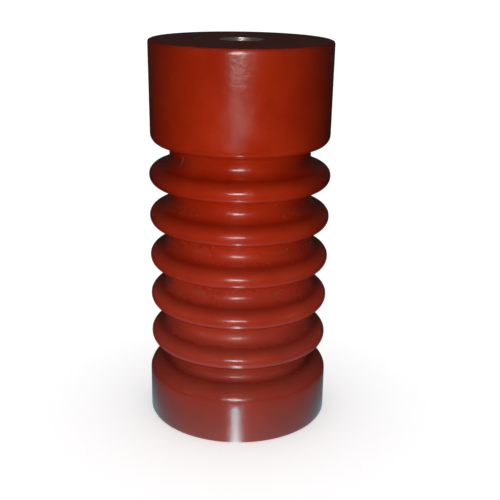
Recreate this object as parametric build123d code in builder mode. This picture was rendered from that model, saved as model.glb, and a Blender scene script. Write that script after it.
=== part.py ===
from build123d import *
import math
import os

# Indoor post insulator for 12 kV switchgear: a ribbed post cast in epoxy resin, with its metal inserts
# cast in place. Nothing on it moves. The resin flows into the grooves and flutes of each insert, and
# that is the joint: the grooves stop an insert pulling out, and the flutes stop it turning.
#
# Frame: +Z is the post's axis, and the origin is the centre of its base face. Sizes are millimetres.

# ---- Resin casting: driving dimensions ----
HEIGHT = 130.0

HEAD_RADIUS = 30.4
HEAD_DRAFT = 0.3  # the head's lower edge is this much smaller in radius than its top edge
HEAD_TOP_EDGE = 0.8  # fillet
HEAD_LOWER_EDGE = 3.4  # fillet; below it the head's underside slopes into the neck as a rib's does

RIB_COUNT = 5
RIB_RADIUS = 30.65
RIB_PITCH = 14.18
RIB_TIP_ARC = 3.4
VALLEY_RADIUS = 23.75
VALLEY_ARC = 3.65
LOWEST_VALLEY = 21.8  # height of the narrowest point under the lowest rib

FOOT_RADIUS = 31.3
FOOT_SHELF = 19.4  # height of the foot's flat top ring
FOOT_SHOULDER = 5.0  # fillet
FOOT_ROOT_ARC = 1.8  # concave arc between the shelf and the lowest valley
FOOT_BOTTOM_EDGE = 0.4  # fillet

# ---- Inserts: turned outlines ----
# Each outline runs from the insert's open face into the resin, as (radius, depth, fillet) corners. An
# insert shows a small round face, and widens behind it into the collar that anchors it.
TOP_LENGTH = 30.0
TOP_OUTLINE = [
    (7.4, 0.0, 0.0),
    (7.4, 4.0, 0.6),
    (10.0, 4.0, 0.6),
    (10.0, 13.0, 0.6),
    (8.2, 14.0, 1.0),
    (8.2, 18.0, 1.0),
    (10.0, 19.0, 0.6),
    (10.0, TOP_LENGTH, 6.5),
]

STRIP_DEPTH = 14.0  # where the bonding strip lies, and so where the base inserts have their shoulders
STRIP_THICKNESS = 1.5

BASE_LENGTH = 32.0
BASE_SEAT_RADIUS = 9.0  # the part that passes through the bonding strip
BASE_OUTLINE = [
    (8.8, 0.0, 0.0),
    (8.8, 4.0, 0.6),
    (10.5, 4.0, 0.6),
    (10.5, STRIP_DEPTH, 0.0),
    (BASE_SEAT_RADIUS, STRIP_DEPTH, 0.0),
    (BASE_SEAT_RADIUS, 19.0, 0.6),
    (7.4, 20.0, 1.0),
    (7.4, 23.0, 1.0),
    (BASE_SEAT_RADIUS, 24.0, 0.6),
    (BASE_SEAT_RADIUS, BASE_LENGTH, 6.0),
]

SIDE_SPACING = 36.0
SIDE_STUB_RADIUS = 3.0  # the stub that passes through the bonding strip
SIDE_RIVET_RADIUS = 3.9  # the stub's end, peened over the strip
SIDE_RIVET_TOP = STRIP_DEPTH + STRIP_THICKNESS + 1.0
SIDE_OUTLINE = [
    (4.2, 0.0, 0.0),
    (4.2, 2.5, 0.4),
    (5.0, 2.5, 0.4),
    (5.0, 5.0, 0.4),
    (4.1, 5.5, 0.5),
    (4.1, 7.5, 0.5),
    (5.0, 8.0, 0.4),
    (5.0, STRIP_DEPTH, 0.0),
    (SIDE_STUB_RADIUS, STRIP_DEPTH, 0.0),
    (SIDE_STUB_RADIUS, STRIP_DEPTH + STRIP_THICKNESS, 0.0),
    (SIDE_RIVET_RADIUS, STRIP_DEPTH + STRIP_THICKNESS, 0.0),
    (SIDE_RIVET_RADIUS, SIDE_RIVET_TOP, 0.8),
]

# ---- Inserts: flutes, as (collar radius, first depth, last depth, count, flute radius) ----
FLUTE_CENTRE = 0.3  # a flute's centre stands this far outside the collar
TOP_FLUTES = [(10.0, 5.5, 11.5, 24, 0.9), (10.0, 20.0, 23.0, 24, 0.9)]
BASE_FLUTES = [(10.5, 5.5, 12.5, 24, 0.9)]
SIDE_FLUTES = [(5.0, 9.0, 13.0, 12, 0.7)]

# ---- Inserts: tapped holes, as (tap-drill radius, depth of full diameter, countersink radius) ----
M10_HOLE = (4.25, 22.0, 5.25)
M12_HOLE = (5.1, 24.0, 6.3)
M6_HOLE = (2.5, 10.0, 3.2)
DRILL_POINT = math.radians(118 / 2)  # half the angle of the drill's point

# ---- Bonding strip, in plan ----
STRIP_BOSS_RADIUS = 13.0  # the round middle, around the base insert
STRIP_END_RADIUS = 5.5  # the round ends, which set the strip's width

TOP_FACE = Plane(origin=(0, 0, HEIGHT), x_dir=(1, 0, 0), z_dir=(0, 0, -1))
BASE_FACE = Plane.XY
LEFT_FACE = Plane(origin=(-SIDE_SPACING / 2, 0, 0))
RIGHT_FACE = Plane(origin=(SIDE_SPACING / 2, 0, 0))


def flank_angle():
    """The tilt from horizontal of the straight flank that touches both a rib's tip arc and a valley arc."""
    arcs = RIB_TIP_ARC + VALLEY_ARC
    spare = RIB_RADIUS - VALLEY_RADIUS - arcs
    half_pitch = RIB_PITCH / 2
    return math.acos(arcs / math.hypot(half_pitch, spare)) - math.atan2(spare, half_pitch)


def casting_corners():
    """Corners of the casting's half section, from the bottom edge up, as (radius, height, fillet)."""
    flank = flank_angle()
    overshoot = 1 / math.sin(flank) - 1  # from an arc's crown to its unrounded corner, in arc radii
    tip_corner = RIB_RADIUS + RIB_TIP_ARC * overshoot
    valley_corner = VALLEY_RADIUS - VALLEY_ARC * overshoot
    first_flank = LOWEST_VALLEY + (VALLEY_RADIUS - valley_corner) * math.tan(flank)

    corners = [
        (FOOT_RADIUS, 0, FOOT_BOTTOM_EDGE),
        (FOOT_RADIUS, FOOT_SHELF, FOOT_SHOULDER),
        (VALLEY_RADIUS, FOOT_SHELF, FOOT_ROOT_ARC),
        (VALLEY_RADIUS, first_flank, VALLEY_ARC),
    ]
    for rib in range(RIB_COUNT):
        valley = LOWEST_VALLEY + rib * RIB_PITCH
        corners.append((tip_corner, valley + RIB_PITCH / 2, RIB_TIP_ARC))
        corners.append((valley_corner, valley + RIB_PITCH, VALLEY_ARC))

    neck = LOWEST_VALLEY + RIB_COUNT * RIB_PITCH
    head_low_radius = HEAD_RADIUS - HEAD_DRAFT
    underside = neck + (head_low_radius - valley_corner) * math.tan(flank)
    corners.append((head_low_radius, underside, HEAD_LOWER_EDGE))
    corners.append((HEAD_RADIUS, HEIGHT, HEAD_TOP_EDGE))
    return corners


def turned(face, corners, length):
    """A solid of revolution that starts on a face plane and runs along that plane's Z."""
    section = Plane(origin=face.origin, x_dir=face.x_dir, z_dir=-face.y_dir)
    with BuildPart() as piece:
        with BuildSketch(section):
            with BuildLine():
                outline = FilletPolyline(
                    (0, 0),
                    *[(radius, depth) for radius, depth, _ in corners],
                    (0, length),
                    radius=[fillet for _, _, fillet in corners],
                )
                Line(outline @ 1, outline @ 0)
            make_face()
        revolve(axis=Axis(face.origin, face.z_dir))
    return piece.part


def insert_blank(face, outline, length, flutes):
    """An insert before it is drilled: the shape that the resin is cast around."""
    turned_bar = turned(face, outline, length)
    with BuildPart() as blank:
        add(turned_bar)
        for collar, first, last, count, flute in flutes:
            with BuildSketch(face.offset(first)):
                with PolarLocations(collar + FLUTE_CENTRE, count):
                    Circle(flute)
            extrude(amount=last - first, mode=Mode.SUBTRACT)
    return blank.part


def tapped_insert(face, blank, hole):
    """A blank with its countersunk blind hole, left at the tap drill's diameter."""
    radius, depth, sink_radius = hole
    sink_depth = sink_radius - radius  # a 90 degree countersink
    tool = turned(
        face,
        [(sink_radius, 0, 0), (radius, sink_depth, 0), (radius, depth, 0)],
        depth + radius / math.tan(DRILL_POINT),
    )
    with BuildPart() as insert:
        add(blank)
        add(tool, mode=Mode.SUBTRACT)
    return insert


# ---- The inserts ----
top_blank = insert_blank(TOP_FACE, TOP_OUTLINE, TOP_LENGTH, TOP_FLUTES)
base_blank = insert_blank(BASE_FACE, BASE_OUTLINE, BASE_LENGTH, BASE_FLUTES)
left_blank = insert_blank(LEFT_FACE, SIDE_OUTLINE, SIDE_RIVET_TOP, SIDE_FLUTES)
right_blank = insert_blank(RIGHT_FACE, SIDE_OUTLINE, SIDE_RIVET_TOP, SIDE_FLUTES)

top_insert = tapped_insert(TOP_FACE, top_blank, M10_HOLE)
base_insert = tapped_insert(BASE_FACE, base_blank, M12_HOLE)
base_side_insert_left = tapped_insert(LEFT_FACE, left_blank, M6_HOLE)
base_side_insert_right = tapped_insert(RIGHT_FACE, right_blank, M6_HOLE)

# ---- The strip that joins the three base inserts inside the resin ----
with BuildPart() as base_bonding_strip:
    with BuildSketch(BASE_FACE.offset(STRIP_DEPTH)):
        SlotCenterToCenter(SIDE_SPACING, 2 * STRIP_END_RADIUS)
        Circle(STRIP_BOSS_RADIUS)
        Circle(BASE_SEAT_RADIUS, mode=Mode.SUBTRACT)
        with GridLocations(SIDE_SPACING, 0, 2, 1):
            Circle(SIDE_STUB_RADIUS, mode=Mode.SUBTRACT)
    extrude(amount=STRIP_THICKNESS)

# ---- The resin, cast around everything above ----
post = turned(BASE_FACE, casting_corners(), HEIGHT)
with BuildPart() as insulator_body:
    add(post)
    for buried in (top_blank, base_blank, left_blank, right_blank, base_bonding_strip.part):
        add(buried, mode=Mode.SUBTRACT)

pieces = {
    "insulator_body": insulator_body,
    "top_insert": top_insert,
    "base_insert": base_insert,
    "base_side_insert_left": base_side_insert_left,
    "base_side_insert_right": base_side_insert_right,
    "base_bonding_strip": base_bonding_strip,
}

os.makedirs("parts", exist_ok=True)
for name, piece in pieces.items():
    piece.part.label = name
    export_step(piece.part, f"parts/{name}.step")
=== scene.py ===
import math

import bmesh
import bpy
import numpy as np
from mathutils import Matrix, Vector, noise


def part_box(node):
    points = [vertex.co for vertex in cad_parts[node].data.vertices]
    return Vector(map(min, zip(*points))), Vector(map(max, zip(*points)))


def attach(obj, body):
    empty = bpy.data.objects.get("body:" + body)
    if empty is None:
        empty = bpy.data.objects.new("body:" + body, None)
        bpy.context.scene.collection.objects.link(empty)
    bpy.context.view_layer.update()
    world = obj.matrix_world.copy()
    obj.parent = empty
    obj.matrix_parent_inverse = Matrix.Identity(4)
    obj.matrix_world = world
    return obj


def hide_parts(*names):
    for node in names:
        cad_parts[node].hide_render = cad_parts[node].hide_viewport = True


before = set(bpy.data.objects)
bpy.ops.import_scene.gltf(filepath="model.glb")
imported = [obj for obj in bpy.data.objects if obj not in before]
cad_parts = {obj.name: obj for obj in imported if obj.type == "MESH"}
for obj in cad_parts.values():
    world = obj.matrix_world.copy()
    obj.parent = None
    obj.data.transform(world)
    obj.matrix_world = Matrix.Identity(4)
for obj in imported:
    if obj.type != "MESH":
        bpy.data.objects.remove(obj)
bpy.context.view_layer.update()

# Looks for a cast-resin indoor post insulator: the ribbed red casting, its tapped plated-steel inserts
# and the brass strip that joins the base inserts inside the resin. Everything is in metres, in the CAD
# frame: +Z is the post's axis and the base face lies on z = 0.

MM = 0.001
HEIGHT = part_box("insulator_body")[1].z
FOOT_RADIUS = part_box("insulator_body")[1].x

# ---- The casting's outline, as in the CAD ----
HEAD_RADIUS = 30.4 * MM
HEAD_DRAFT = 0.3 * MM
HEAD_TOP_EDGE = 0.8 * MM
HEAD_LOWER_EDGE = 3.4 * MM
RIB_COUNT = 5
RIB_RADIUS = 30.65 * MM
RIB_PITCH = 14.18 * MM
RIB_TIP_ARC = 3.4 * MM
VALLEY_RADIUS = 23.75 * MM
VALLEY_ARC = 3.65 * MM
LOWEST_VALLEY = 21.8 * MM
FOOT_SHELF = 19.4 * MM
FOOT_SHOULDER = 5.0 * MM
FOOT_ROOT_ARC = 1.8 * MM
FOOT_BOTTOM_EDGE = 0.4 * MM

# ---- The inserts, in millimetres ----
# Outlines, as in the CAD: (radius, depth from the open face, fillet), with the open edge broken
TOP_OUTLINE = [
    (7.4, 0.0, 0.2), (7.4, 4.0, 0.6), (10.0, 4.0, 0.6), (10.0, 13.0, 0.6),
    (8.2, 14.0, 1.0), (8.2, 18.0, 1.0), (10.0, 19.0, 0.6), (10.0, 30.0, 6.5),
]
BASE_OUTLINE = [
    (8.8, 0.0, 0.2), (8.8, 4.0, 0.6), (10.5, 4.0, 0.6), (10.5, 14.0, 0.05), (9.0, 14.0, 0.05),
    (9.0, 19.0, 0.6), (7.4, 20.0, 1.0), (7.4, 23.0, 1.0), (9.0, 24.0, 0.6), (9.0, 32.0, 6.0),
]
SIDE_OUTLINE = [
    (4.2, 0.0, 0.15), (4.2, 2.5, 0.4), (5.0, 2.5, 0.4), (5.0, 5.0, 0.4), (4.1, 5.5, 0.5),
    (4.1, 7.5, 0.5), (5.0, 8.0, 0.4), (5.0, 14.0, 0.05), (3.0, 14.0, 0.05), (3.0, 15.5, 0.05),
    (3.9, 15.5, 0.05), (3.9, 16.5, 0.8),
]
FLUTE_CENTRE = 0.3  # a flute's centre stands this far outside the collar
# Flutes: (collar radius, first depth, last depth, count, flute radius)
TOP_FLUTES = [(10.0, 5.5, 11.5, 24, 0.9), (10.0, 20.0, 23.0, 24, 0.9)]
BASE_FLUTES = [(10.5, 5.5, 12.5, 24, 0.9)]
SIDE_FLUTES = [(5.0, 9.0, 13.0, 12, 0.7)]
# Tapped holes: (tap-drill radius, depth, countersink radius, major radius, pitch, tapped depth)
M10_HOLE = (4.25, 22.0, 5.25, 5.0, 1.5, 19.0)
M12_HOLE = (5.1, 24.0, 6.3, 6.0, 1.75, 21.0)
M6_HOLE = (2.5, 10.0, 3.2, 3.0, 1.0, 8.5)
DRILL_POINT = math.radians(118 / 2)
ROWS_PER_TURN = 14  # of a thread
ROOT_FLAT = 1 / 16  # half the flat at a thread's root, in pitches
ARC_STEP = 0.3
INSERT_ROW_STEP = 1.0
CUTTER_CLEAR = 1.0

# ---- Surface detail of the casting ----
COLUMNS = 176  # faces around the casting
ROW_STEP = 1.2 * MM
ARC_ROW_STEP = 0.65 * MM
WAVE_HEIGHT = 0.02 * MM  # unevenness left by the mould and by shrinkage
WAVE_LENGTH = 9 * MM
SEAM_HEIGHT = 0.09 * MM  # trimmed flash along the two mould joints, which run up the +X and -X sides
SEAM_HALF_WIDTH = 0.45 * MM
SEAM_WEAR_LENGTH = 4 * MM
FLAT_BELOW = 0.3 * MM  # the unevenness stops this far from the flat end faces
END_FACE_DEPTH = 0.1 * MM
END_FACE_RADIUS = 27 * MM
END_FACE_CENTRE = 0.01 * MM
END_FACE_SKIP = 12  # one ring in this many is kept on an end face
# The neck's painted glint: a pale slanted mark painted on the resin where a lamp's reflection shows.
NECK_GLINT_AZIMUTH = -51.0  # degrees round from the camera's side, towards -X
NECK_GLINT_HEIGHT = 92.7 * MM
NECK_GLINT_SLANT = 0.42
NECK_GLINT_LENGTH = 1.5 * MM
NECK_GLINT_WIDTH = 0.28 * MM
NECK_GLINT_STRENGTH = 0.8


# ======== Outlines and meshes ========

def rounded(corners, arc_step):
    """Points along the path through (x, y, fillet) corners, with each fillet as an arc."""
    points = [np.array(corners[0][:2], float)]
    for before, corner, after in zip(corners, corners[1:], corners[2:]):
        here = np.array(corner[:2], float)
        radius = corner[2]
        back = np.array(before[:2], float) - here
        on = np.array(after[:2], float) - here
        back /= np.linalg.norm(back)
        on /= np.linalg.norm(on)
        half = math.acos(np.clip(back @ on, -1, 1)) / 2
        if radius == 0 or half > math.radians(89.9):
            points.append(here)
            continue
        bisector = (back + on) / np.linalg.norm(back + on)
        centre = here + bisector * radius / math.sin(half)
        start = here + back * radius / math.tan(half) - centre
        end = here + on * radius / math.tan(half) - centre
        turn = math.atan2(start[0] * end[1] - start[1] * end[0], start @ end)
        steps = max(2, math.ceil(abs(turn) * radius / arc_step))
        for angle in np.linspace(0, turn, steps + 1):
            cos, sin = math.cos(angle), math.sin(angle)
            spun = np.array([start[0] * cos - start[1] * sin, start[0] * sin + start[1] * cos])
            points.append(centre + spun)
    points.append(np.array(corners[-1][:2], float))
    return points


def divided(points, step):
    """The same path with no gap longer than step."""
    path = [points[0]]
    for point in points[1:]:
        pieces = max(1, math.ceil(np.linalg.norm(point - path[-1]) / step - 1e-6))
        start = path[-1]
        path += [start + (point - start) * k / pieces for k in range(1, pieces + 1)]
    return path


def spun_mesh(name, rows, angles, centre=(0.0, 0.0)):
    """A closed mesh from rows of radii. A row is (height, radius) or (height, radii at each angle); the
    first and last rows are points on the axis."""
    cos, sin = np.cos(angles), np.sin(angles)
    count = len(angles)
    vertices = [(centre[0], centre[1], rows[0][0])]
    for height, radii in rows[1:-1]:
        ring = np.broadcast_to(radii, count)
        x = centre[0] + ring * cos
        y = centre[1] + ring * sin
        vertices += list(zip(x, y, np.full(count, height)))
    vertices.append((centre[0], centre[1], rows[-1][0]))
    faces = []
    last_ring = len(rows) - 3
    for k in range(count):
        n = (k + 1) % count
        faces.append((0, 1 + k, 1 + n))
        faces.append((len(vertices) - 1, 1 + last_ring * count + n, 1 + last_ring * count + k))
    for row in range(last_ring):
        a = 1 + row * count
        b = a + count
        faces += [(a + k, b + k, b + (k + 1) % count, a + (k + 1) % count) for k in range(count)]
    mesh = bpy.data.meshes.new(name)
    mesh.from_pydata(vertices, [], faces)
    mesh.validate()
    outward = bpy.data.objects.new(name, mesh)
    bpy.context.scene.collection.objects.link(outward)
    face_out(outward)
    return outward


def face_out(piece):
    """Turns every face of a closed piece outward."""
    mesh = bmesh.new()
    mesh.from_mesh(piece.data)
    bmesh.ops.recalc_face_normals(mesh, faces=mesh.faces)
    mesh.to_mesh(piece.data)
    mesh.free()


def smooth(piece, sharp_angle):
    """Smooth shading, broken at edges sharper than the angle."""
    piece.data.polygons.foreach_set("use_smooth", [True] * len(piece.data.polygons))
    piece.data.set_sharp_from_angle(angle=math.radians(sharp_angle))


# ======== The casting ========

def casting_corners():
    """Corners of the casting's half section from the axis at the base to the axis at the top."""
    arcs = RIB_TIP_ARC + VALLEY_ARC
    spare = RIB_RADIUS - VALLEY_RADIUS - arcs
    half_pitch = RIB_PITCH / 2
    flank = math.acos(arcs / math.hypot(half_pitch, spare)) - math.atan2(spare, half_pitch)
    overshoot = 1 / math.sin(flank) - 1
    tip_corner = RIB_RADIUS + RIB_TIP_ARC * overshoot
    valley_corner = VALLEY_RADIUS - VALLEY_ARC * overshoot
    first_flank = LOWEST_VALLEY + (VALLEY_RADIUS - valley_corner) * math.tan(flank)
    corners = [
        (0, 0, 0),
        (FOOT_RADIUS, 0, FOOT_BOTTOM_EDGE),
        (FOOT_RADIUS, FOOT_SHELF, FOOT_SHOULDER),
        (VALLEY_RADIUS, FOOT_SHELF, FOOT_ROOT_ARC),
        (VALLEY_RADIUS, first_flank, VALLEY_ARC),
    ]
    for rib in range(RIB_COUNT):
        valley = LOWEST_VALLEY + rib * RIB_PITCH
        corners.append((tip_corner, valley + half_pitch, RIB_TIP_ARC))
        corners.append((valley_corner, valley + RIB_PITCH, VALLEY_ARC))
    neck = LOWEST_VALLEY + RIB_COUNT * RIB_PITCH
    head_low_radius = HEAD_RADIUS - HEAD_DRAFT
    underside = neck + (head_low_radius - valley_corner) * math.tan(flank)
    corners.append((head_low_radius, underside, HEAD_LOWER_EDGE))
    corners.append((HEAD_RADIUS, HEIGHT, HEAD_TOP_EDGE))
    corners.append((0, HEIGHT, 0))
    return corners


def casting_angles():
    """Even angles round the post, with closer ones across the two mould joints."""
    even = np.arange(COLUMNS) * 2 * math.pi / COLUMNS
    near = np.array([0.25, 0.5, 0.75, 1.2]) * SEAM_HALF_WIDTH / RIB_RADIUS
    close = np.concatenate([side + sign * near for side in (0, math.pi) for sign in (-1, 1)])
    return np.sort(np.unique(np.concatenate([even, close % (2 * math.pi)])))


def skin_offset(x, y, z):
    """How far the moulded surface stands off the drawn one at a point, in metres."""
    wave = noise.noise(Vector((x, y, z)) / WAVE_LENGTH) * WAVE_HEIGHT
    across = abs(y) / SEAM_HALF_WIDTH
    if across >= 1:
        return wave
    worn = 0.55 + 0.45 * noise.noise(Vector((x, 0, z)) / SEAM_WEAR_LENGTH)
    return wave + SEAM_HEIGHT * worn * (1 - across * across) ** 2


def casting_path():
    """The outline in steps, from the axis at the base to the axis at the top. The flat end faces keep
    only a few of their rings."""
    path = divided(rounded(casting_corners(), ARC_ROW_STEP), ROW_STEP)
    kept = []
    for k, (radius, height) in enumerate(path):
        on_end_face = min(height, HEIGHT - height) < END_FACE_DEPTH and radius < END_FACE_RADIUS
        if radius > END_FACE_CENTRE and not (on_end_face and k % END_FACE_SKIP):
            kept.append((radius, height))
    return kept


def casting_blank():
    """The whole casting before its pockets are cut."""
    angles = casting_angles()
    rows = [(0.0, 0.0)]
    for radius, height in casting_path():
        radii = radius
        if FLAT_BELOW < height < HEIGHT - FLAT_BELOW:
            radii = [
                radius + skin_offset(radius * math.cos(angle), radius * math.sin(angle), height)
                for angle in angles
            ]
        rows.append((height, np.asarray(radii)))
    rows.append((HEIGHT, 0.0))
    return spun_mesh("resin_casting", rows, angles)


# ======== The inserts ========

def fluted(radius, flutes, depth, angles):
    """Radii round an insert at one depth, in millimetres, with the flutes taken out."""
    radii = np.full(len(angles), radius)
    for collar, first, last, count, flute in flutes:
        if not first < depth < last:
            continue
        pitch = 2 * math.pi / count
        off = (angles + pitch / 2) % pitch - pitch / 2
        reach = collar + FLUTE_CENTRE
        inside = flute ** 2 - (reach * np.sin(off)) ** 2
        cut = reach * np.cos(off) - np.sqrt(np.maximum(inside, 0))
        radii = np.where(inside > 0, np.minimum(radii, cut), radii)
    return radii


def outside_rows(outline, flutes, angles, mouth_radius, mouth_depth):
    """Rows of an insert's outside, from the middle of its buried end to the open mouth."""
    path = rounded([(0, outline[-1][1], 0), *outline[::-1], (mouth_radius, mouth_depth, 0)], ARC_STEP)
    path = with_flute_ends(divided(path, INSERT_ROW_STEP), flutes)
    rows = [(outline[-1][1], 0.0)]
    rows += [(depth, fluted(radius, flutes, depth, angles)) for radius, depth in path[1:]]
    return rows


def with_flute_ends(path, flutes):
    """The path with a pair of close points at each end of each band of flutes, to square the ends."""
    gap = 0.02
    for _, first, last, _, _ in flutes:
        for edge in (first, last):
            k = next(i for i in range(1, len(path)) if (path[i][1] - edge) * (path[i - 1][1] - edge) <= 0)
            radius = path[k][0]
            lower = np.array([radius, edge - gap])
            upper = np.array([radius, edge + gap])
            falling = path[k][1] < path[k - 1][1]
            pair = [upper, lower] if falling else [lower, upper]
            path = path[:k] + pair + path[k:]
    return path


def hole_rows(hole, angles):
    """Rows of a countersunk tapped hole, from its mouth to the tip of the drill's cone."""
    radius, depth, sink_radius, major, pitch, tapped = hole
    thread_depth = major - radius
    flank = thread_depth * math.tan(math.radians(30)) / pitch
    step = pitch / ROWS_PER_TURN
    rows = []
    for at in np.arange(step, depth + 1e-6, step):
        # a 60 degree thread: a flat at the crest, two flanks and a narrow flat at the root
        phase = (at / pitch + angles / (2 * math.pi)) % 1
        from_root = np.abs(phase - 0.5)
        rise = np.clip((ROOT_FLAT + flank - from_root) / flank, 0, 1)
        run_out = np.clip((tapped - at) / pitch, 0, 1)
        thread = radius + thread_depth * rise * run_out
        rows.append((at, np.maximum(thread, sink_radius - at)))
    rows.append((depth + radius / math.tan(DRILL_POINT), 0.0))
    return rows


def stood(name, rows, angles, x, top):
    """A mesh from rows of (depth, radii) in millimetres, stood in the base, or hung from the top face."""
    face, inward = (HEIGHT, -MM) if top else (0.0, MM)
    placed = [(face + depth * inward, np.asarray(radii) * MM) for depth, radii in rows]
    return spun_mesh(name, placed, angles, (x, 0.0))


def tapped_insert(name, outline, flutes, hole, columns, x, top):
    """One insert as a closed mesh, with its threaded hole."""
    angles = np.arange(columns) * 2 * math.pi / columns
    rows = outside_rows(outline, flutes, angles, hole[2], 0) + hole_rows(hole, angles)
    piece = stood(name, rows, angles, x, top)
    smooth(piece, 32)
    return piece


def pocket_cutter(outline, flutes, hole, columns, x, top):
    """An insert's outside as a cutter that also stands a little out of the face."""
    angles = np.arange(columns) * 2 * math.pi / columns
    rows = outside_rows(outline[1:], flutes, angles, outline[0][0], -CUTTER_CLEAR)
    rows.append((-CUTTER_CLEAR, 0.0))
    return stood("cutter", rows, angles, x, top)


def cut(piece, cutters):
    """Cuts closed meshes out of a piece."""
    for cutter in cutters:
        step = piece.modifiers.new("pocket", "BOOLEAN")
        step.operation = "DIFFERENCE"
        step.solver = "EXACT"
        step.object = cutter
    depsgraph = bpy.context.evaluated_depsgraph_get()
    result = bpy.data.meshes.new_from_object(piece.evaluated_get(depsgraph))
    piece.modifiers.clear()
    piece.data = result
    for cutter in cutters:
        bpy.data.objects.remove(cutter)


# ======== Materials ========

RESIN_RED = (0.37, 0.019, 0.0030, 1)
RESIN_RED_BRIGHTER = (0.44, 0.027, 0.0042, 1)
RESIN_SPECK = (0.28, 0.016, 0.004, 1)
# A darker brown mixed into the resin's colour towards the foot, most on upward faces.
DARKER_FOOT_TONE = (0.100, 0.035, 0.030, 1)
FOOT_BAND_TOP = 98 * MM  # no darkening and no groove dulling above this height,
FOOT_BAND_FULL = 20 * MM  # and the most below this one
FOOT_BAND_RAGGED = 16 * MM  # how far the noise shifts those heights
# The pale colour of the neck's painted glint.
NECK_GLINT_COLOUR = (0.55, 0.27, 0.24, 1)
GROOVE_FLOOR = 24.5 * MM
GROOVE_MOUTH = 27.5 * MM
GROOVE_DULL = 0.16  # roughness that the dust adds on a groove's floor
ZINC = (0.62, 0.53, 0.47, 1)
ZINC_PALE = (0.82, 0.71, 0.62, 1)
BRASS = (0.66, 0.45, 0.17, 1)
BRASS_TARNISHED = (0.38, 0.25, 0.10, 1)


class Graph:
    """A short way to write a material's nodes."""

    def __init__(self, name):
        self.material = bpy.data.materials.new(name)
        self.material.use_nodes = True
        self.tree = self.material.node_tree
        self.shader = self.tree.nodes["Principled BSDF"]
        self.place = self.node("ShaderNodeTexCoord").outputs["Object"]

    def node(self, kind, **settings):
        made = self.tree.nodes.new(kind)
        for key, value in settings.items():
            setattr(made, key, value)
        return made

    def link(self, value, socket):
        """Feeds a socket from another socket, or sets it to a value."""
        if isinstance(value, bpy.types.NodeSocket):
            self.tree.links.new(value, socket)
        else:
            socket.default_value = value

    def noise(self, scale, detail=2.0, rough=0.5, place=None):
        made = self.node("ShaderNodeTexNoise")
        self.link(place or self.place, made.inputs["Vector"])
        made.inputs["Scale"].default_value = scale
        made.inputs["Detail"].default_value = detail
        made.inputs["Roughness"].default_value = rough
        return made.outputs["Fac"]

    def maths(self, operation, *values):
        made = self.node("ShaderNodeMath", operation=operation)
        for value, socket in zip(values, made.inputs):
            self.link(value, socket)
        return made.outputs[0]

    def product(self, *values):
        result = values[0]
        for value in values[1:]:
            result = self.maths("MULTIPLY", result, value)
        return result

    def total(self, *values):
        result = values[0]
        for value in values[1:]:
            result = self.maths("ADD", result, value)
        return result

    def bell(self, value, width):
        """A bell curve: 1 where the value is 0, and 1/e where it is a width away."""
        ratio = self.maths("DIVIDE", value, width)
        return self.maths("EXPONENT", self.product(ratio, ratio, -1))

    def from_axis(self):
        """Distance from the post's axis."""
        x, y = self.axis(self.place, "X"), self.axis(self.place, "Y")
        return self.maths("SQRT", self.total(self.product(x, x), self.product(y, y)))

    def span(self, value, low, high, to_low=0.0, to_high=1.0):
        """Maps low..high to to_low..to_high, and holds beyond."""
        made = self.node("ShaderNodeMapRange", interpolation_type="SMOOTHSTEP")
        for given, socket in zip((value, low, high, to_low, to_high), made.inputs):
            self.link(given, socket)
        return made.outputs[0]

    def mix(self, share, one, other):
        made = self.node("ShaderNodeMix", data_type="RGBA")
        self.link(share, made.inputs["Factor"])
        self.link(one, made.inputs["A"])
        self.link(other, made.inputs["B"])
        return made.outputs["Result"]

    def bump(self, height, distance, normal=None):
        made = self.node("ShaderNodeBump")
        made.inputs["Strength"].default_value = 1.0
        made.inputs["Distance"].default_value = distance
        self.link(height, made.inputs["Height"])
        if normal:
            self.link(normal, made.inputs["Normal"])
        return made.outputs["Normal"]

    def stretched(self, scale):
        made = self.node("ShaderNodeMapping")
        self.link(self.place, made.inputs["Vector"])
        made.inputs["Scale"].default_value = scale
        return made.outputs["Vector"]

    def axis(self, vector, name):
        """One component of a vector: X, Y or Z."""
        split = self.node("ShaderNodeSeparateXYZ")
        self.link(vector, split.inputs[0])
        return split.outputs[name]

    def moved(self, x):
        made = self.node("ShaderNodeMapping")
        self.link(self.place, made.inputs["Vector"])
        made.inputs["Location"].default_value = (-x, 0, 0)
        return made.outputs["Vector"]


def painted_neck_glint(g):
    """Where the neck has its painted glint: a thin slanted pale mark that stands in for a lamp's
    reflection, broken up along its length.
    """
    turn = math.radians(NECK_GLINT_AZIMUTH)
    x, y, z = (g.axis(g.place, name) for name in "XYZ")
    across = g.total(g.product(x, math.cos(turn)), g.product(y, math.sin(turn)))
    along = g.total(z, -NECK_GLINT_HEIGHT)
    slanted = g.total(across, g.product(along, -NECK_GLINT_SLANT))
    ragged = g.span(g.noise(1500, 3, 0.6), 0.35, 0.6)
    near_side = g.maths("LESS_THAN", y, 0)
    shape = g.product(g.bell(slanted, NECK_GLINT_WIDTH), g.bell(along, NECK_GLINT_LENGTH))
    return g.product(shape, ragged, near_side, NECK_GLINT_STRENGTH)


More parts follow.
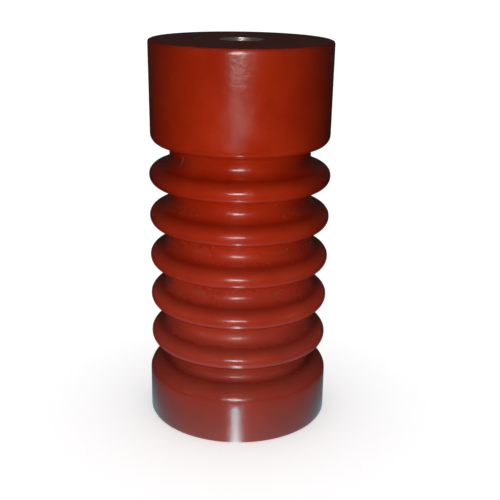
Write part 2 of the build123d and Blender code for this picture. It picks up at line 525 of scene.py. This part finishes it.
def resin_material():
    """Brick-red silica-filled epoxy: mottled pigment, an orange-peel skin, a darker tone and duller
    grooves towards the foot, and a painted glint on the neck.
    """
    g = Graph("cast_resin")
    mottle = g.noise(55, 4, 0.6)
    speck = g.noise(1400, 2, 0.6)
    colour = g.mix(g.span(mottle, 0.35, 0.7), RESIN_RED, RESIN_RED_BRIGHTER)
    colour = g.mix(g.span(speck, 0.66, 0.82, 0, 0.3), colour, RESIN_SPECK)
    # The colour goes darker towards the foot, most on upward faces.
    ragged_height = g.total(g.axis(g.place, "Z"), g.product(g.noise(90, 4, 0.7), FOOT_BAND_RAGGED))
    facing_up = g.axis(g.node("ShaderNodeNewGeometry").outputs["Normal"], "Z")
    more_on_upward_faces = g.span(facing_up, -0.6, 1.0, 0.75, 1.1)
    darker_towards_foot = g.product(g.span(ragged_height, FOOT_BAND_FULL, FOOT_BAND_TOP, 0.5, 0), more_on_upward_faces)
    colour = g.mix(darker_towards_foot, colour, DARKER_FOOT_TONE)
    # The pale mark mixed in on the neck is a painted glint.
    colour = g.mix(painted_neck_glint(g), colour, NECK_GLINT_COLOUR)
    g.link(colour, g.shader.inputs["Base Color"])

    in_groove = g.span(g.from_axis(), GROOVE_FLOOR, GROOVE_MOUTH, 1, 0)
    dull = g.product(in_groove, g.span(ragged_height, FOOT_BAND_FULL, FOOT_BAND_TOP, 1, 0), GROOVE_DULL)
    haze = g.span(g.noise(110, 4, 0.65), 0.32, 0.68, 0.15, 0.27)
    g.link(g.total(haze, dull), g.shader.inputs["Roughness"])
    g.shader.inputs["IOR"].default_value = 1.5
    g.shader.inputs["Coat Weight"].default_value = 0.2
    g.shader.inputs["Coat Roughness"].default_value = 0.1
    g.shader.inputs["Coat IOR"].default_value = 1.5

    dimples = g.bump(g.noise(230, 2, 0.5), 0.07 * MM)
    peel = g.bump(g.noise(650, 2, 0.5), 0.06 * MM, dimples)
    grain = g.bump(g.noise(2400, 2, 0.5), 0.014 * MM, peel)
    g.link(grain, g.shader.inputs["Normal"])
    return g.material


def plated_material(name, x):
    """Zinc-plated turned steel: concentric tool marks, and a patchy pale passivation."""
    g = Graph(name)
    centred = g.moved(x)
    patch = g.noise(420, 4, 0.6)
    colour = g.mix(g.span(patch, 0.35, 0.7), ZINC, ZINC_PALE)
    g.link(colour, g.shader.inputs["Base Color"])
    g.shader.inputs["Metallic"].default_value = 0.5
    g.link(g.span(g.noise(900, 3, 0.6), 0.3, 0.7, 0.28, 0.42), g.shader.inputs["Roughness"])
    rings = g.node("ShaderNodeTexWave", wave_type="RINGS", rings_direction="Z")
    g.link(centred, rings.inputs["Vector"])
    rings.inputs["Scale"].default_value = 900
    rings.inputs["Distortion"].default_value = 0.6
    g.link(g.bump(rings.outputs["Fac"], 0.006 * MM), g.shader.inputs["Normal"])
    return g.material


def brass_material():
    """Rolled brass strip, with the grain along its length and a dull patchy tarnish."""
    g = Graph("strip_brass")
    tarnish = g.noise(260, 4, 0.6)
    colour = g.mix(g.span(tarnish, 0.4, 0.75), BRASS, BRASS_TARNISHED)
    g.link(colour, g.shader.inputs["Base Color"])
    g.shader.inputs["Metallic"].default_value = 1.0
    g.link(g.span(tarnish, 0.4, 0.75, 0.28, 0.5), g.shader.inputs["Roughness"])
    grain = g.noise(1.0, 3, 0.6, g.stretched((120, 4000, 4000)))
    g.link(g.bump(grain, 0.004 * MM), g.shader.inputs["Normal"])
    return g.material


# ======== Build ========

def dress(piece, material, slot, *nodes):
    """Gives a piece its material and its body, and hides the CAD nodes that it stands for."""
    piece.data.materials.clear()
    piece.data.materials.append(material)
    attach(piece, "root")
    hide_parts(*nodes)


left_x = sum(c.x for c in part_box("base_side_insert_left")) / 2
right_x = sum(c.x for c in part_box("base_side_insert_right")) / 2

inserts = {
    "top_insert": (TOP_OUTLINE, TOP_FLUTES, M10_HOLE, 192, 0.0, True),
    "base_insert": (BASE_OUTLINE, BASE_FLUTES, M12_HOLE, 192, 0.0, False),
    "base_side_insert_left": (SIDE_OUTLINE, SIDE_FLUTES, M6_HOLE, 96, left_x, False),
    "base_side_insert_right": (SIDE_OUTLINE, SIDE_FLUTES, M6_HOLE, 96, right_x, False),
}
casting = casting_blank()
cut(casting, [pocket_cutter(*shape) for shape in inserts.values()])
smooth(casting, 40)
dress(casting, resin_material(), "cast_resin", "insulator_body")
pieces = [casting]
for node, shape in inserts.items():
    piece = tapped_insert(node + "_tapped", *shape)
    dress(piece, plated_material(node + "_plating", shape[-2]), "plated_steel", node)
    pieces.append(piece)

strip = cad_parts["base_bonding_strip"]
strip.data.materials.clear()
strip.data.materials.append(brass_material())
pieces.append(strip)


# ======== Stage, light and camera ========

FLOOR_RADIUS = 2.4
BACKDROP_CURVE = 1.0
BACKDROP_HEIGHT = 3.6
FLOOR_TONE = 0.3  # what the floor shows where no lamp reaches it
FLOOR_SUN = 2.9
FLOOR_SUN_WIDTH = math.radians(100)
SURROUNDINGS = 0.02  # the dim room that the post reflects
SHEET_HALF = 0.7
SHEET_DROP = 0.1 * MM
GLOW = 1.0  # the white sheet right beside the post, as the post sees it
GLOW_FADE = 0.018  # and how fast that falls off along the sheet
GLARE = 13.5  # the lamp's glare on the sheet: a narrow streak that runs up to the foot
GLARE_LEFT = 0.4 * MM
GLARE_HALF_WIDTH = 1.9 * MM
GLARE_SPREAD = 0.06  # how much wider it gets for each unit of distance ahead,
GLARE_LEAN = 0.05  # and how much further left
GLARE_FULL = 21 * MM  # it fades from this far in front of the foot
GLARE_END = 28 * MM  # to this far


def backdrop():
    """A pale floor that curves up into a pale wall and roof. Only the camera sees it."""
    corners = [
        (0, 0, 0),
        (FLOOR_RADIUS + BACKDROP_CURVE, 0, BACKDROP_CURVE),
        (FLOOR_RADIUS + BACKDROP_CURVE, BACKDROP_HEIGHT, BACKDROP_CURVE),
        (0, BACKDROP_HEIGHT, 0),
    ]
    path = divided(rounded(corners, 0.1), 0.4)
    angles = np.arange(96) * 2 * math.pi / 96
    made = spun_mesh("backdrop", [(height, radius) for radius, height in path], angles)
    smooth(made, 60)
    g = Graph("backdrop")
    tone = g.noise(2, 2)
    g.link(g.mix(tone, (0.82, 0.82, 0.83, 1), (0.85, 0.85, 0.85, 1)), g.shader.inputs["Base Color"])
    g.shader.inputs["Roughness"].default_value = 0.8
    g.shader.inputs["Specular IOR Level"].default_value = 0.0
    g.shader.inputs["Emission Color"].default_value = (1, 1, 1, 1)
    g.shader.inputs["Emission Strength"].default_value = FLOOR_TONE
    made.data.materials.append(g.material)
    made.visible_diffuse = False
    made.visible_glossy = False
    made.visible_shadow = False
    return made


def white_sheet():
    """The sheet under the post, as the post sees it: bright close by, with the key's glare in front."""
    mesh = bpy.data.meshes.new("white_sheet")
    h = SHEET_HALF
    mesh.from_pydata([(-h, -h, 0), (h, -h, 0), (h, h, 0), (-h, h, 0)], [], [(0, 1, 2, 3)])
    made = bpy.data.objects.new("white_sheet", mesh)
    made.location.z = -SHEET_DROP
    bpy.context.scene.collection.objects.link(made)
    g = Graph("white_sheet")
    x, y, radius = g.axis(g.place, "X"), g.axis(g.place, "Y"), g.from_axis()
    fading = g.maths("EXPONENT", g.maths("DIVIDE", g.total(radius, -FOOT_RADIUS), -GLOW_FADE))
    lamp_side = g.product(g.maths("DIVIDE", y, g.maths("MAXIMUM", radius, 0.01)), -0.5)
    glow = g.product(fading, GLOW, g.total(lamp_side, 0.5))

    ahead = g.maths("MAXIMUM", g.total(g.product(y, -1), -FOOT_RADIUS), 0)
    aside = g.total(x, g.product(ahead, GLARE_LEAN), GLARE_LEFT)
    width = g.total(g.product(ahead, GLARE_SPREAD), GLARE_HALF_WIDTH)
    in_front = g.maths("LESS_THAN", y, 0)
    glare = g.product(g.bell(aside, width), g.span(ahead, GLARE_FULL, GLARE_END, 1, 0), in_front, GLARE)

    g.shader.inputs["Base Color"].default_value = (0.5, 0.5, 0.5, 1)
    g.shader.inputs["Roughness"].default_value = 0.7
    g.shader.inputs["Emission Color"].default_value = (0.50, 0.90, 1.0, 1)
    g.link(g.total(glow, glare), g.shader.inputs["Emission Strength"])
    mesh.materials.append(g.material)
    made.visible_camera = False
    made.visible_diffuse = False
    made.visible_shadow = False


def lights_only(light, objects):
    """Keeps a light to these objects. Everything still casts its shadow on them."""
    group = bpy.data.collections.new(light.name)
    for thing in objects:
        group.objects.link(thing)
    light.light_linking.receiver_collection = group


def area_light(name, azimuth, place, size, power, colour=(1, 1, 1), diffuse=True, glossy=True,
               aim=None, spread=180, lit=None):
    """A soft oval light on the post. Azimuth 0 is the camera's side, and 90 is +X; place is its distance
    from the axis and its height. It faces level, unless aim gives the height on the axis to face."""
    data = bpy.data.lights.new(name, "AREA")
    data.shape = "ELLIPSE"
    data.size, data.size_y = size
    data.energy = power
    data.color = colour
    data.spread = math.radians(spread)
    light = bpy.data.objects.new(name, data)
    turn = math.radians(azimuth)
    distance, height = place
    light.location = (math.sin(turn) * distance, -math.cos(turn) * distance, height)
    target = Vector((0, 0, height if aim is None else aim))
    light.rotation_euler = (target - light.location).to_track_quat("-Z", "Y").to_euler()
    light.visible_camera = False
    light.visible_diffuse = diffuse
    light.visible_glossy = glossy
    bpy.context.scene.collection.objects.link(light)
    lights_only(light, lit or pieces)


def floor_sun(floor):
    """Even light on the floor alone, from a sky wide enough to give a soft shadow round the foot."""
    data = bpy.data.lights.new("floor_sun", "SUN")
    data.energy = FLOOR_SUN
    data.angle = FLOOR_SUN_WIDTH
    light = bpy.data.objects.new("floor_sun", data)
    light.visible_glossy = False
    bpy.context.scene.collection.objects.link(light)
    lights_only(light, [floor])


floor_sun(backdrop())
white_sheet()
WARM = (1.0, 0.97, 0.93)
area_light("key_highlight", -3, (1.25, 0.20), (0.44, 0.22), 4.4, WARM, diffuse=False)
area_light("key_wash", -3.5, (0.12, 0.055), (0.04, 0.22), 0.122, WARM, glossy=False)
area_light("high_front", 0, (0.9, 0.9), (0.3, 0.3), 1.4, glossy=False, aim=0.06)
area_light("left_fill", -140, (1.2, 0.12), (0.5, 0.2), 1.4, glossy=False)
area_light("right_fill", 140, (1.2, 0.12), (0.5, 0.2), 1.4, glossy=False)
area_light("low_left", -62, (0.16, 0.038), (0.03, 0.03), 0.0036, glossy=False, spread=36)
area_light("low_right", 62, (0.16, 0.038), (0.03, 0.03), 0.0036, glossy=False, spread=36)
area_light("back_highlight", 180, (1.2, -0.15), (0.40, 0.16), 4.0, diffuse=False)
area_light("back_wash", 180, (0.25, 0.03), (0.06, 0.1), 0.2, glossy=False)
area_light("hole_glint", 0, (0.03, HEIGHT + 0.4), (0.1, 0.1), 0.5, diffuse=False, aim=0, lit=pieces[1:2])

world = bpy.data.worlds.new("room")
bpy.context.scene.world = world
world.use_nodes = True
world.node_tree.nodes["Background"].inputs["Color"].default_value = (1, 1, 1, 1)
world.node_tree.nodes["Background"].inputs["Strength"].default_value = SURROUNDINGS

CAMERA_BACK = 0.2936  # from the post's axis
CAMERA_RISE = 0.0261  # above the post's top
CAMERA_PITCH = math.radians(18.468)
CAMERA_YAW = math.radians(-0.743)
CAMERA_ROLL = math.radians(0.884)
CAMERA_LENS = 63.79
camera_data = bpy.data.cameras.new("camera")
camera_data.lens = CAMERA_LENS
camera_data.sensor_width = 36.0
camera_data.clip_start = 0.01
camera = bpy.data.objects.new("camera", camera_data)
camera.matrix_world = (
    Matrix.Translation((0, -CAMERA_BACK, HEIGHT + CAMERA_RISE))
    @ Matrix.Rotation(CAMERA_YAW, 4, "Z")
    @ Matrix.Rotation(math.radians(90) - CAMERA_PITCH, 4, "X")
    @ Matrix.Rotation(CAMERA_ROLL, 4, "Z")
)
bpy.context.scene.collection.objects.link(camera)
bpy.context.scene.camera = camera
bpy.context.scene.view_settings.view_transform = "Standard"
